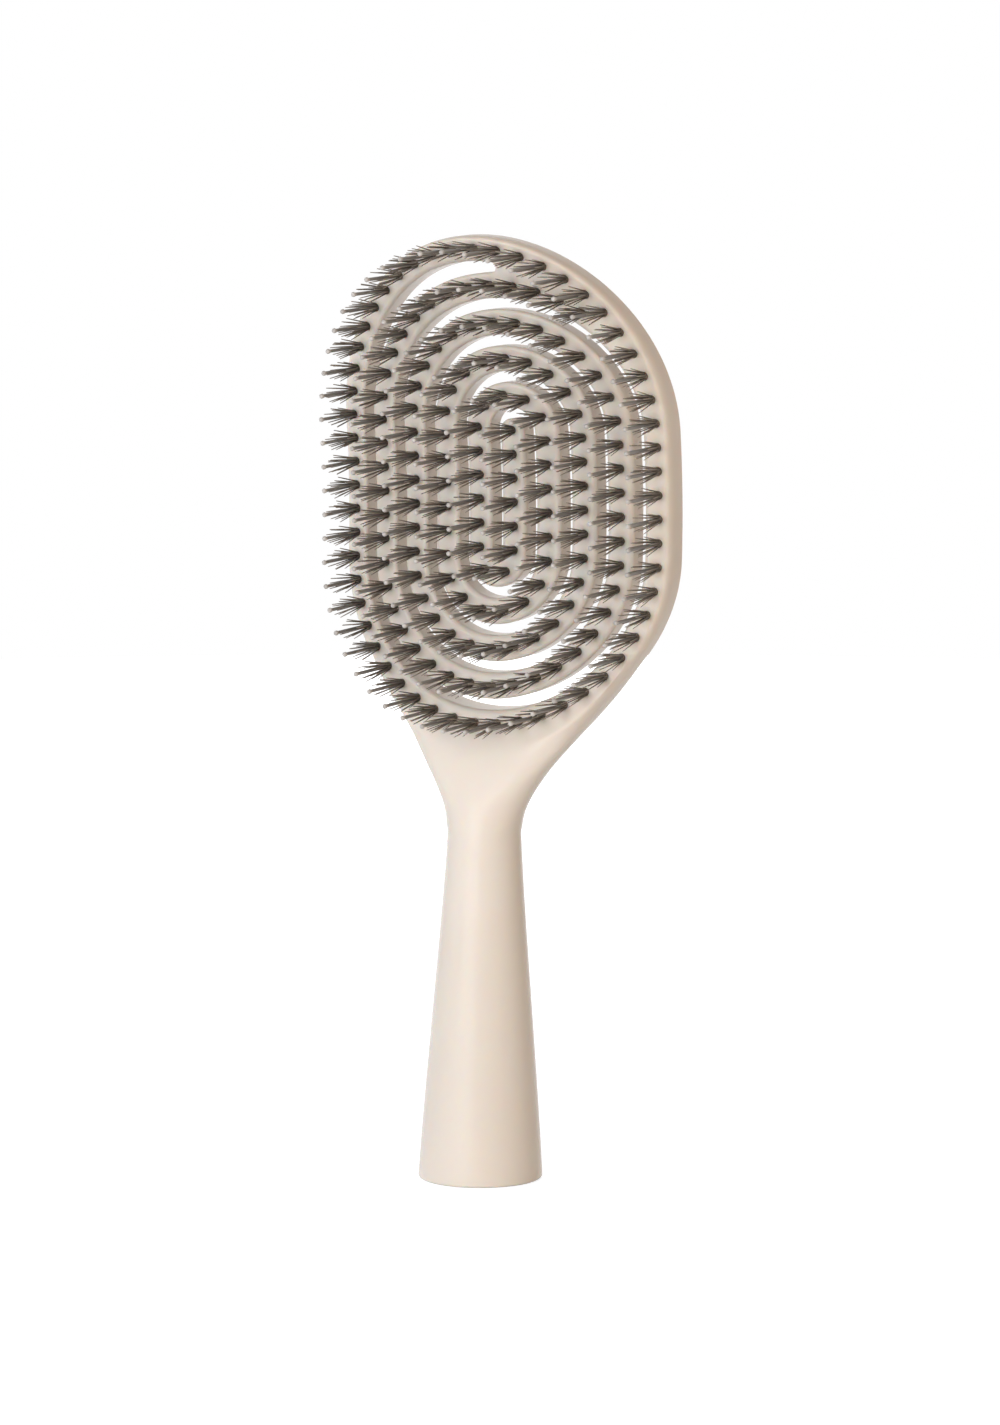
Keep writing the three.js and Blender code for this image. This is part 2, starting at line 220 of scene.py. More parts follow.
# Places worked out from the sizes
lower_z = HANDLE_LENGTH + NECK_TO_HEAD
upper_z = lower_z + COLUMN_LENGTH
bow_z = lower_z + BOW_RISE
half_band = BAND_WIDTH / 2
flat_half = half_band - FRONT_EDGE - EDGE_SUPPORT
tip_z = upper_z + half_band
rim_radius = (COIL_TURNS + 0.5) * ROW_PITCH
rim_outer_radius = rim_radius + half_band
rim_height = rim_radius + ROW_PITCH / 2
root_radius = COIL_TURNS * ROW_PITCH
root_centre = np.array([ROW_PITCH / 2, upper_z])
meeting_z = lower_z - rim_outer_radius * math.sin(NECK_MEETS_RIM)


def smoothstep(value, low, high):
    """0 up to low, 1 from high on, and an even rise between them."""
    share = np.clip((value - low) / (high - low), 0, 1)
    return share * share * (3 - 2 * share)


def around(centre, radius, angles):
    """Points on a circle in the plane of X and Z."""
    return centre + radius * np.column_stack([np.cos(angles), np.sin(angles)])


# Surfaces of the head

def face_y(x, z):
    """The front of the head, crowned from side to side and bowed lengthwise."""
    return FACE_SET_BACK + x**2 / (2 * CROWN_RADIUS) - (z - bow_z) ** 2 / (2 * BOW_RADIUS)


def coil_depth(x, z):
    """How deep the coil is, the same at every place."""
    return np.full_like(x, BAND_DEPTH)


def frame_depth(x, z):
    """The rim is deeper than the coil, and deeper still where the neck grows out of its back."""
    from_cut = np.hypot(x - cut_place[0], z - cut_place[1])
    depth = BAND_DEPTH + (RIM_DEPTH - BAND_DEPTH) * smoothstep(from_cut, *ROOT_DEPTH_REACH)
    share = smoothstep(z, HANDLE_LENGTH, meeting_z)
    handle_back = HANDLE_LEAN + HANDLE_NECK_RADIUS
    rim_back = face_y(x, np.maximum(z, meeting_z)) + RIM_DEPTH
    neck_depth = handle_back + (rim_back - handle_back) * share - face_y(x, z)
    return np.where(z < meeting_z, np.maximum(depth, neck_depth), depth)


# Rows of tufts

def line(x, from_z, to_z):
    """Points along an upright line."""
    steps = max(2, round(abs(to_z - from_z) / PATH_STEP))
    z = np.linspace(from_z, to_z, steps + 1)
    return np.column_stack([np.full_like(z, x), z])


def arc(x, z, width, height, from_angle, to_angle):
    """Points along a stretch of an ellipse, whose half axes are its width and height."""
    steps = max(2, round(abs(to_angle - from_angle) * max(width, height) / PATH_STEP))
    angles = np.linspace(from_angle, to_angle, steps + 1)
    return np.column_stack([x + width * np.cos(angles), z + height * np.sin(angles)])


class Row:
    """A row of tufts in the plane of X and Z: stretches joined end to end, measured by length."""

    def __init__(self, stretches):
        self.points = np.vstack([stretches[0][:1], *(stretch[1:] for stretch in stretches)])
        steps = np.linalg.norm(np.diff(self.points, axis=0), axis=1)
        self.lengths = np.concatenate([[0], np.cumsum(steps)])
        self.total = self.lengths[-1]
        self.slopes = np.gradient(self.points, self.lengths, axis=0)
        self.ends = self.lengths[np.cumsum([len(stretch) - 1 for stretch in stretches])]

    def at(self, lengths):
        """Points at these lengths, and unit vectors to the left of the row there."""
        def follow(values):
            return np.column_stack([np.interp(lengths, self.lengths, values[:, k]) for k in (0, 1)])

        slopes = follow(self.slopes)
        slopes /= np.linalg.norm(slopes, axis=1, keepdims=True)
        return follow(self.points), np.column_stack([-slopes[:, 1], slopes[:, 0]])


def coil_row():
    """From the free tip outwards: each arc at the top steps out by one row."""
    stretches = [line(ROW_PITCH / 2, tip_z, lower_z)]
    for turn in range(COIL_TURNS):
        radius = (turn + 0.5) * ROW_PITCH
        upper = radius + ROW_PITCH / 2
        stretches.append(arc(0, lower_z, radius, radius, 0, -math.pi))
        stretches.append(line(-radius, lower_z, upper_z))
        stretches.append(arc(*root_centre, upper, upper, math.pi, 0))
        if turn < COIL_TURNS - 1:
            stretches.append(line(radius + ROW_PITCH, upper_z, lower_z))
    return Row(stretches)


def rim_row():
    """Once round the rim, from the foot of its right-hand side."""
    return Row([
        line(rim_radius, lower_z, upper_z),
        arc(0, upper_z, rim_radius, rim_height, 0, math.pi),
        line(-rim_radius, upper_z, lower_z),
        arc(0, lower_z, rim_radius, rim_radius, math.pi, 2 * math.pi),
    ])


def rim_tuft_lengths():
    """The rim's tufts stand evenly all the way round."""
    pitch = rim.total / round(rim.total / TUFT_PITCH)
    return np.arange(pitch * RIM_FIRST_SHARE, rim.total, pitch)


def root_length(angle):
    """The length along the coil at an angle of its last arc."""
    return coil.total - root_radius * angle


def between_tufts(length):
    """The middle of the gap between two tufts of the coil in which a length lies."""
    return COIL_FIRST_TUFT + (math.floor((length - COIL_FIRST_TUFT) / TUFT_PITCH) + 0.5) * TUFT_PITCH


coil = coil_row()
rim = rim_row()
coil_tufts = np.arange(COIL_FIRST_TUFT, root_length(ROOT_TUFTS_END), TUFT_PITCH)
rim_tufts = rim_tuft_lengths()

# Where the coil is parted, from the tip: the last column of its second and of its third turn bends
second_turn = 2 * STRETCHES_PER_TURN
third_turn = 3 * STRETCHES_PER_TURN
inner_end = between_tufts(coil.ends[second_turn - 1])
middle_start = between_tufts(coil.ends[second_turn])
middle_end = between_tufts(coil.ends[third_turn - 1])
outer_start = between_tufts(coil.ends[third_turn])
outer_end = between_tufts(root_length(ROOT_BEND_END))
root_cut = between_tufts(root_length(ROOT_CUT))
cut_angle = (coil.total - root_cut) / root_radius
cut_place = around(root_centre, root_radius, np.array([cut_angle]))[0]


# Meshes

class Skin:
    """Vertices in millimetres and faces of a mesh in the making."""

    def __init__(self):
        self.parts = []
        self.count = 0
        self.faces = []

    def add(self, points):
        """Takes points in and gives the numbers of their vertices."""
        points = np.asarray(points, float).reshape(-1, 3)
        self.parts.append(points)
        self.count += len(points)
        return np.arange(self.count - len(points), self.count)

    def positions(self):
        return np.vstack(self.parts)

    def rows(self, rows, is_closed=False):
        """Quads between rows of vertices."""
        for here, there in zip(rows, rows[1:]):
            last = len(here) if is_closed else len(here) - 1
            for i in range(last):
                j = (i + 1) % len(here)
                self.faces.append((here[i], here[j], there[j], there[i]))

    def fan(self, ring, centre):
        """Triangles from a closed ring of vertices to one in its middle."""
        for i, vertex in enumerate(ring):
            self.faces.append((vertex, ring[(i + 1) % len(ring)], centre))

    def fill(self, loops):
        """Triangles over the region that closed loops of vertices bound, as seen along Y."""
        ids = np.concatenate(loops)
        flat = self.positions()[ids][:, [0, 2]]
        edges = []
        for loop in loops:
            first = len(edges)
            edges.extend((first + i, first + (i + 1) % len(loop)) for i in range(len(loop)))
        points = [Vector(point) for point in flat]
        _, _, triangles, origins, _, _ = delaunay_2d_cdt(points, edges, [], 0, MERGE_DISTANCE)
        ends = np.array(edges)
        corners = np.array([[origins[k][0] for k in triangle] for triangle in triangles])
        middles = flat[corners].mean(axis=1)
        inside = is_inside(middles, flat[ends[:, 0]], flat[ends[:, 1]])
        self.faces.extend(map(tuple, ids[corners[inside]]))


def is_inside(points, starts, ends):
    """Whether points lie in a region, by how often a level ray from each crosses its edges."""
    result = []
    rise = np.where(ends[:, 1] == starts[:, 1], 1, ends[:, 1] - starts[:, 1])
    for x, z in points:
        spans = (starts[:, 1] > z) != (ends[:, 1] > z)
        meets = starts[:, 0] + (z - starts[:, 1]) * (ends[:, 0] - starts[:, 0]) / rise
        result.append(np.count_nonzero(spans & (x < meets)) % 2 == 1)
    return np.array(result)


def make_object(name, skin, *materials):
    """An object in metres, smooth apart from its sharp creases."""
    mesh = bpy.data.meshes.new(name)
    mesh.from_pydata((skin.positions() * MM).tolist(), [], [list(map(int, f)) for f in skin.faces])
    for material in materials:
        mesh.materials.append(material)
    work = bmesh.new()
    work.from_mesh(mesh)
    bmesh.ops.recalc_face_normals(work, faces=work.faces)
    work.to_mesh(mesh)
    work.free()
    mesh.shade_smooth()
    mesh.set_sharp_from_angle(angle=SHARP_ANGLE)
    piece = bpy.data.objects.new(name, mesh)
    bpy.context.scene.collection.objects.link(piece)
    return piece


# Bands with rounded edges and holes for the tufts

def edge_bend(radius):
    """Rows of a rounded edge as [out of the flat, behind the face], from the face to the wall."""
    turn = np.linspace(0, math.pi / 2, EDGE_STEPS + 1)
    reach = EDGE_SUPPORT + FRONT_EDGE - radius
    bend = np.column_stack([reach + radius * np.sin(turn), radius * (1 - np.cos(turn))])
    return np.vstack([[0, 0], bend])


def band_edge_depth(x, z):
    """How far back the edge of a band rounds, the same at every place."""
    return np.full_like(x, FRONT_EDGE)


def rim_edge_depth(x, z):
    """The outer edge of the rim rounds further back towards the neck."""
    near_neck = 1 - smoothstep(z, meeting_z, lower_z)
    return RIM_EDGE_DEPTH + (NECK_EDGE_DEPTH - RIM_EDGE_DEPTH) * near_neck


def add_edge(skin, points, outward, depth_of, edge_depth_of=band_edge_depth):
    """Front edge, wall and back edge along a chain of points; gives the rows of vertices."""
    def spots(out):
        x, z = (points + outward * out).T
        return np.column_stack([x, face_y(x, z), z]), depth_of(x, z)

    front, back = [], []
    for out, behind in edge_bend(FRONT_EDGE):
        spot, _ = spots(out)
        spot[:, 1] += edge_depth_of(*points.T) * behind / FRONT_EDGE
        front.append(spot)
    for out, behind in edge_bend(BACK_EDGE)[::-1]:
        spot, depth = spots(out)
        spot[:, 1] += depth - behind
        back.append(spot)
    shares = np.linspace(0, 1, WALL_STEPS + 1)[1:-1]
    wall = [front[-1] + (back[0] - front[-1]) * share for share in shares]
    rows = [skin.add(row) for row in (*front, *wall, *back)]
    skin.rows(rows)
    return np.array(rows)


def add_hole(skin, centre):
    """A tuft's hole with a softened lip; gives the ring where it meets the face."""
    angles = np.linspace(0, 2 * math.pi, HOLE_SIDES, endpoint=False)
    rings = []
    for share, depth in (*HOLE_LIP, (HOLE_BOTTOM_SHARE, HOLE_DEPTH)):
        x, z = around(centre, HOLE_RADIUS * share, angles).T
        rings.append(skin.add(np.column_stack([x, face_y(x, z) + depth, z])))
    skin.rows(rings, is_closed=True)
    bottom = skin.add([centre[0], face_y(*centre) + HOLE_DEPTH, centre[1]])
    skin.fan(rings[-1], bottom[0])
    return rings[0]


def edge_lengths(start, end):
    """Even steps along a row, at least two of them."""
    return np.linspace(start, end, max(2, round((end - start) / EDGE_STEP)) + 1)


def band_edge(row, lengths, side):
    """Points along one edge of a band's flat front, and the way out of the band there."""
    points, left = row.at(lengths)
    return points + side * flat_half * left, side * left


def tip_edge(row, end):
    """One chain up the left edge to the free tip, round it and back down the right edge."""
    lengths = edge_lengths(half_band, end)
    left, left_out = band_edge(row, lengths[::-1], 1)
    right, right_out = band_edge(row, lengths, -1)
    angles = np.linspace(0, math.pi, TIP_STEPS)[1:-1]
    tip_out = around(np.zeros(2), 1, angles)
    tip = np.array([ROW_PITCH / 2, tip_z - half_band]) + flat_half * tip_out
    return np.vstack([left, tip, right]), np.vstack([left_out, tip_out, right_out])


def make_band(name, row, start, end, tufts, material):
    """A stretch of the coil with flat ends, or with a round tip where it starts at length 0."""
    skin = Skin()
    if start == 0:
        chain = add_edge(skin, *tip_edge(row, end), coil_depth)
        skin.faces.append([*chain[:, 0], *chain[::-1, -1]])
    else:
        lengths = edge_lengths(start, end)
        left = add_edge(skin, *band_edge(row, lengths, 1), coil_depth)
        right = add_edge(skin, *band_edge(row, lengths[::-1], -1), coil_depth)
        chain = np.hstack([left, right])
        skin.faces.append([*left[:, -1], *right[::-1, 0]])
        skin.faces.append([*right[:, -1], *left[::-1, 0]])
    centres, _ = row.at(tufts)
    holes = [add_hole(skin, centre) for centre in centres]
    skin.fill([chain[0], *holes])
    skin.fill([chain[-1]])
    return make_object(name, skin, material)


# Frame: rim, root of the coil, neck and handle in one skin

def outer_row():
    """The outer edge of the rim's flat front, from where the neck meets it round to the other side."""
    reach = rim_radius + flat_half
    return Row([
        arc(0, lower_z, reach, reach, -NECK_MEETS_RIM, 0),
        line(reach, lower_z, upper_z),
        arc(0, upper_z, reach, rim_height + flat_half, 0, math.pi),
        line(-reach, upper_z, lower_z),
        arc(0, lower_z, reach, reach, math.pi, math.pi + NECK_MEETS_RIM),
    ])


def window_row():
    """The inner edge of the frame's flat front, from one side of the coil's cut to the other."""
    reach = rim_radius - flat_half
    height = rim_height - flat_half
    slot_side = root_radius + flat_half
    rim_angle = math.acos(SLOT_END_X / reach)
    coil_angle = math.acos((SLOT_END_X - root_centre[0]) / slot_side)
    over = height * math.sin(rim_angle)
    under = slot_side * math.sin(coil_angle)
    notch = (over - under) / 2
    inner = root_radius - flat_half
    quarter = math.pi / 2
    return Row([
        arc(*root_centre, inner, inner, cut_angle, 0),
        line(reach, upper_z, lower_z),
        arc(0, lower_z, reach, reach, 0, -math.pi),
        line(-reach, lower_z, upper_z),
        arc(0, upper_z, reach, height, math.pi, rim_angle),
        arc(SLOT_END_X, upper_z + under + notch, notch, notch, quarter, -quarter),
        arc(*root_centre, slot_side, slot_side, coil_angle, cut_angle),
    ])


def add_row_edge(skin, row, edge_depth_of):
    """The rounded edge along a row whose right-hand side is open."""
    points, left = row.at(edge_lengths(0, row.total))
    return add_edge(skin, points, -left, frame_depth, edge_depth_of)


def back_y(x, z):
    """The back of the frame."""
    return face_y(x, z) + frame_depth(x, z)


def bezier(points, shares):
    """Points at shares of the way along cubic curves, one for each row of their four points."""
    a, b, c, d = points
    t = np.asarray(shares)[:, None, None]
    return a * (1 - t) ** 3 + 3 * b * t * (1 - t) ** 2 + 3 * c * t**2 * (1 - t) + d * t**3


def handle_ring(radius, z, angles):
    """A level ring about the handle's axis, which leans back on its way up."""
    axis_y = HANDLE_LEAN * z / HANDLE_LENGTH
    level = np.full_like(angles, z)
    return np.column_stack([radius * np.cos(angles), axis_y + radius * np.sin(angles), level])


def neck_ways(points, rim_angles, radial, is_back):
    """The way each line of the neck leaves the rim: along its edge at the sides, square to it below."""
    cos, sin = np.cos(rim_angles), np.sin(rim_angles)
    to_middle = np.where(rim_angles > NECK_MIDDLE, 1, -1)
    along = np.column_stack([sin, -cos]) * to_middle[:, None]
    square = np.column_stack([cos, sin])
    flat = along * (1 - radial)[:, None] + square * radial[:, None]
    flat /= np.linalg.norm(flat, axis=1, keepdims=True)
    x, z = points[:, 0], points[:, 2]
    next_x, next_z = x + flat[:, 0] * PATH_STEP, z + flat[:, 1] * PATH_STEP
    front_rise = face_y(next_x, next_z) - face_y(x, z)
    back_rise = back_y(next_x, next_z) - back_y(x, z)
    rise = np.where(is_back, back_rise, front_rise) / PATH_STEP
    return np.column_stack([flat[:, 0], rise, flat[:, 1]])


def half_width(levels, z):
    """Half the width, at heights z, of the neck whose loops these are."""
    widest = levels[np.arange(len(levels)), levels[:, :, 0].argmax(axis=1)]
    return np.interp(z, widest[::-1, 2], widest[::-1, 0])


def soften(levels, shares):
    """Rounds off the loops of the neck between rim and handle, and keeps its outline and depth."""
    full, fading = NECK_SOFT_REACH
    strength = smoothstep(shares, 0, full) * (1 - smoothstep(shares, fading, 1))
    soft = levels
    for _ in range(NECK_SOFT_PASSES):
        beside = (np.roll(soft, 1, axis=1) + np.roll(soft, -1, axis=1)) / 2
        soft = soft + (beside - soft) * strength[:, None, None]
    x, y, z = np.moveaxis(soft, 2, 0)
    reach = half_width(soft, z)
    x = x * (1 + (half_width(levels, z) / reach - 1) * np.clip(np.abs(x) / reach, 0, 1) ** 2)
    low, high = (end(levels[:, :, 1], axis=1, keepdims=True) for end in (np.min, np.max))
    soft_low, soft_high = (end(y, axis=1, keepdims=True) for end in (np.min, np.max))
    y = low + (y - soft_low) * (high - low) / (soft_high - soft_low)
    return np.dstack([x, y, z])


def add_neck(skin, edge, arc_angles, front, back):
    """Lines from the loop round the rim's foot to a ring of the handle; gives it and its angles."""
    right = [*edge[1:-1, 0]]
    left = [*edge[-2:0:-1, -1]]
    loop = np.array([
        edge[0, -1], *front, edge[0, 0], *right, edge[-1, 0], *back[::-1], edge[-1, -1], *left,
    ])
    angle_of_left, angle_of_right = math.pi + NECK_MEETS_RIM, 2 * math.pi - NECK_MEETS_RIM
    rim_angles = np.concatenate([
        [angle_of_left], arc_angles, [angle_of_right], np.full(len(right), angle_of_right),
        [angle_of_right], arc_angles[::-1], [angle_of_left], np.full(len(left), angle_of_left),
    ])
    on_face = len(front) + 2
    half_wall = len(right) // 2
    is_back = np.zeros(len(loop), bool)
    is_back[on_face + half_wall : 2 * on_face + len(right) + half_wall] = True
    spread = NECK_SIDE_SPREAD
    turns = np.concatenate([
        np.linspace(math.pi + spread, 2 * math.pi - spread, on_face),
        np.linspace(2 * math.pi - spread, 2 * math.pi + spread, len(right) + 2)[1:-1],
        np.linspace(2 * math.pi + spread, 3 * math.pi - spread, on_face),
        np.linspace(3 * math.pi - spread, 3 * math.pi + spread, len(left) + 2)[1:-1],
    ])
    sweep = math.pi / 2 - NECK_MEETS_RIM
    radial = smoothstep(1 - np.abs(rim_angles - NECK_MIDDLE) / sweep, 0, 1)
    starts = skin.positions()[loop]
    ways = neck_ways(starts, rim_angles, radial, is_back)
    lower_pull, upper_pull = (
        side + (middle - side) * radial[:, None]
        for side, middle in zip(NECK_SIDE_PULLS, NECK_MIDDLE_PULLS)
    )
    ends = handle_ring(HANDLE_NECK_RADIUS, HANDLE_LENGTH, turns)
    up = np.array([0, HANDLE_LEAN / HANDLE_LENGTH, 1])
    lines = (starts, starts + ways * upper_pull, ends + up * lower_pull, ends)
    shares = np.linspace(0, 1, NECK_STEPS + 1)[1:]
    levels = soften(bezier(lines, shares), shares)
    rows = [loop, *(skin.add(level) for level in levels)]
    skin.rows(rows, is_closed=True)
    return rows[-1], turns


def add_handle(skin, top, turns):
    """The flared handle, its softened foot, and the mouth that takes the end cap."""
    curve = np.array([
        (HANDLE_END_RADIUS, FOOT_EDGE), FLARE_END, FLARE_NECK, (HANDLE_NECK_RADIUS, HANDLE_LENGTH),
    ])
    flare = bezier(curve[:, None, :], np.linspace(1, 0, HANDLE_STEPS + 1)[1:])[:, 0]
    bend = np.linspace(0, math.pi / 2, EDGE_STEPS + 1)[1:]
    edge = np.column_stack([
        HANDLE_END_RADIUS - FOOT_EDGE * (1 - np.cos(bend)), FOOT_EDGE * (1 - np.sin(bend)),
    ])
    mouth = CAP_RADIUS + CLEARANCE
    seat = CAP_THICKNESS + CLEARANCE
    profile = np.vstack([flare, edge, [[mouth, 0], [mouth, seat]]])
    rows = [top, *(skin.add(handle_ring(radius, z, turns)) for radius, z in profile)]
    skin.rows(rows, is_closed=True)
    skin.fan(rows[-1], skin.add([0, 0, seat])[0])


def make_frame(centres, material):
    """The frame, with a hole at the centre of each of its tufts."""
    skin = Skin()
    edge = add_row_edge(skin, outer_row(), rim_edge_depth)
    window = add_row_edge(skin, window_row(), band_edge_depth)
    skin.faces.append([*window[:, -1], *window[::-1, 0]])
    reach = rim_radius + flat_half
    count = round((math.pi - 2 * NECK_MEETS_RIM) * reach / EDGE_STEP)
    angles = np.linspace(math.pi + NECK_MEETS_RIM, 2 * math.pi - NECK_MEETS_RIM, count)[1:-1]
    x, z = around(np.array([0, lower_z]), reach, angles).T
    front = skin.add(np.column_stack([x, face_y(x, z), z]))
    back = skin.add(np.column_stack([x, back_y(x, z), z]))
    holes = [add_hole(skin, centre) for centre in centres]
    skin.fill([np.concatenate([edge[0], front]), window[0], *holes])
    skin.fill([np.concatenate([edge[-1], back]), window[-1]])
    add_handle(skin, *add_neck(skin, edge, angles, front, back))
    return make_object("frame_shell", skin, material)


def make_cap(material):
    """A flush disc with a softened edge and a moulded groove, as wide to each side as it is deep."""
    profile = [
        (CAP_GROOVE_RADIUS - CAP_GROOVE_DEPTH, 0), (CAP_GROOVE_RADIUS, CAP_GROOVE_DEPTH),
        (CAP_GROOVE_RADIUS + CAP_GROOVE_DEPTH, 0), (CAP_RADIUS - CAP_EDGE, 0),
        (CAP_RADIUS, CAP_EDGE), (CAP_RADIUS, CAP_THICKNESS),
    ]
    angles = np.linspace(0, 2 * math.pi, ROUND_SIDES, endpoint=False)
    skin = Skin()
    rows = [
        skin.add(np.column_stack([r * np.cos(angles), r * np.sin(angles), np.full_like(angles, z)]))
        for r, z in profile
    ]
    skin.rows(rows, is_closed=True)
    skin.fan(rows[0], skin.add([0, 0, 0])[0])
    skin.fan(rows[-1], skin.add([0, 0, CAP_THICKNESS])[0])
    return make_object("end_cap_disc", skin, material)


# Tufts

class Bundle(Skin):
    """Strands, with each vertex's share of its strand, its tone and each face's material."""

    def __init__(self):
        super().__init__()
        self.along = []
        self.tone = []
        self.places = []

    def strand(self, foot, way, stations, sides, tone, place):
        """A closed tube whose stations are [distance from the foot, radius]."""
        side = np.cross(way, (0, 0, 1))
        side /= np.linalg.norm(side)
        angles = np.linspace(0, 2 * math.pi, sides, endpoint=False)
        ring = np.outer(np.cos(angles), side) + np.outer(np.sin(angles), np.cross(way, side))
        rings = [self.add(foot + way * distance + ring * radius) for distance, radius in stations]
        before = len(self.faces)
        self.rows(rings, is_closed=True)
        self.faces.append(rings[0])
        self.faces.append(rings[-1])
        self.places.extend([place] * (len(self.faces) - before))
        reach = stations[-1][0]
        self.along.extend(np.repeat([distance / reach for distance, _ in stations], sides))
        self.tone.extend([tone] * (len(stations) * sides))


def pin_stations():
    """A tapering pin that ends in a ball."""
    length = PIN_LENGTH + HOLE_DEPTH
    middle = length - BALL_RADIUS
    stations = [(0, PIN_RADII[0]), (length / 2, sum(PIN_RADII) / 2), (middle - BALL_RADIUS, PIN_RADII[1])]
    for turn in np.linspace(BALL_START, 1, BALL_STEPS) * math.pi:
        radius = BALL_RADIUS * max(math.sin(turn), BALL_TIP_SHARE)
        stations.append((middle - BALL_RADIUS * math.cos(turn), radius))
    return stations


def add_tuft(bundle, centre, chance):
    """A plug in the hole for the packed roots, darkened as painted shade, a pin in its middle and a
    spiral of bristles that lean outwards.
    """
    x, z = centre
    foot = np.array([x, face_y(x, z) + HOLE_DEPTH, z])
    forwards = np.array([0.0, -1.0, 0.0])
    plug_radius, crown_radius = (share * HOLE_RADIUS for share in PLUG_SHARES)
    plug = [(0, plug_radius), (HOLE_DEPTH, plug_radius), (HOLE_DEPTH + PLUG_RISE, crown_radius)]
    bundle.strand(foot, forwards, plug, PLUG_SIDES, PLUG_SHADE_TONE, BRISTLE_PLACE)
    bundle.strand(foot, forwards, pin_stations(), PIN_SIDES, chance.random(), PIN_PLACE)
    first_turn = chance.uniform(0, 2 * math.pi)
    for i in range(BRISTLES_PER_TUFT):
        share = (i + chance.random()) / BRISTLES_PER_TUFT
        turn = first_turn + i * GOLDEN_TURN
        offset = BRISTLE_RING[0] + (BRISTLE_RING[1] - BRISTLE_RING[0]) * share
        lean = BRISTLE_LEANS[0] + (BRISTLE_LEANS[1] - BRISTLE_LEANS[0]) * share
        aside = np.array([math.cos(turn), 0, math.sin(turn)])
        way = forwards * math.cos(lean) + aside * math.sin(lean)
        length = BRISTLE_LENGTHS[0] + (BRISTLE_LENGTHS[1] - BRISTLE_LENGTHS[0]) * share
        length += chance.uniform(-BRISTLE_LENGTH_SPREAD, BRISTLE_LENGTH_SPREAD)
        shares = np.linspace(0, 1, len(BRISTLE_RADII))
        stations = list(zip(shares * length, BRISTLE_RADII))
        root = np.array([x, face_y(x, z) + PLUG_RISE / 2, z]) + aside * offset
        bundle.strand(root, way, stations, BRISTLE_SIDES, chance.random(), BRISTLE_PLACE)


def make_tufts(name, centres, materials):
    """One object of tufts, whose random draws are seeded by its name."""
    bundle = Bundle()
    chance = random.Random(name)
    for centre in centres:
        add_tuft(bundle, centre, chance)
    piece = make_object(name, bundle, *materials)
    for key, values in (("along", bundle.along), ("tone", bundle.tone)):
        piece.data.attributes.new(key, "FLOAT", "POINT").data.foreach_set("value", values)
    piece.data.polygons.foreach_set("material_index", bundle.places)
    return piece


# Materials

def new_material(name):
    """A material with its nodes, its links and its shader."""
    material = bpy.data.materials.new(name)
    material.use_nodes = True
    nodes = material.node_tree.nodes
    return material, nodes, material.node_tree.links, nodes["Principled BSDF"]


def noise(nodes, links, scale, detail):
    """Noise that keeps to the object."""
    place = nodes.new("ShaderNodeTexCoord")
    texture = nodes.new("ShaderNodeTexNoise")
    texture.inputs["Scale"].default_value = scale
    texture.inputs["Detail"].default_value = detail
    links.new(place.outputs["Object"], texture.inputs["Vector"])
    return texture.outputs["Fac"]


def ramp(nodes, links, source, stops):
    """A colour ramp from a value, with stops of [position, colour]."""
    node = nodes.new("ShaderNodeValToRGB")
    elements = node.color_ramp.elements
    while len(elements) < len(stops):
        elements.new(1)
    for element, (position, colour) in zip(elements, stops):
        element.position = position
        element.color = (*colour, 1)
    links.new(source, node.inputs["Fac"])
    return node.outputs["Color"]


def spread(nodes, links, source, low, high):
    """A value mapped evenly from 0..1 to low..high."""
    node = nodes.new("ShaderNodeMapRange")
    node.inputs["To Min"].default_value = low
    node.inputs["To Max"].default_value = high
    links.new(source, node.inputs["Value"])
    return node.outputs["Result"]


def plastic(name, dark, pale, roughness, grain):
    """Moulded plastic: faint drift of colour, uneven gloss and a fine skin."""
    material, nodes, links, shader = new_material(name)
    drift = noise(nodes, links, *PLASTIC_DRIFT)
    stops = list(zip(PLASTIC_DRIFT_STOPS, (dark, pale)))
    links.new(ramp(nodes, links, drift, stops), shader.inputs["Base Color"])
    patches = noise(nodes, links, *PLASTIC_PATCHES)
    links.new(spread(nodes, links, patches, *roughness), shader.inputs["Roughness"])
    bump = nodes.new("ShaderNodeBump")
    bump.inputs["Strength"].default_value = grain
    bump.inputs["Distance"].default_value = PLASTIC_SKIN_HEIGHT
    links.new(noise(nodes, links, *PLASTIC_SKIN), bump.inputs["Height"])
    links.new(bump.outputs["Normal"], shader.inputs["Normal"])
    shader.inputs["Specular IOR Level"].default_value = PLASTIC_SPECULAR
    shader.inputs["Subsurface Weight"].default_value = SCATTER_WEIGHT
    shader.inputs["Subsurface Radius"].default_value = SCATTER_COLOUR
    shader.inputs["Subsurface Scale"].default_value = SCATTER_DEPTH
    return material


def attribute(nodes, name):
    """A value that the mesh carries at its vertices."""
    node = nodes.new("ShaderNodeAttribute")
    node.attribute_name = name
    return node.outputs["Fac"]


def fibre(name, stops, tones, roughness):
    """Strand fibre whose colour changes along each strand, darkened near the root as painted shade, and
    differs a little from strand to strand.
    """
    material, nodes, links, shader = new_material(name)
    colour = ramp(nodes, links, attribute(nodes, "along"), stops)
    tone = ramp(nodes, links, attribute(nodes, "tone"), [(0, tones[0]), (1, tones[1])])
    mix = nodes.new("ShaderNodeMix")
    mix.data_type = "RGBA"
    mix.blend_type = "MULTIPLY"
    mix.inputs["Factor"].default_value = 1
    links.new(colour, mix.inputs["A"])
    links.new(tone, mix.inputs["B"])
    links.new(mix.outputs["Result"], shader.inputs["Base Color"])
    gloss = noise(nodes, links, *FIBRE_GLOSS)
    links.new(spread(nodes, links, gloss, *roughness), shader.inputs["Roughness"])
    return material


# Stage

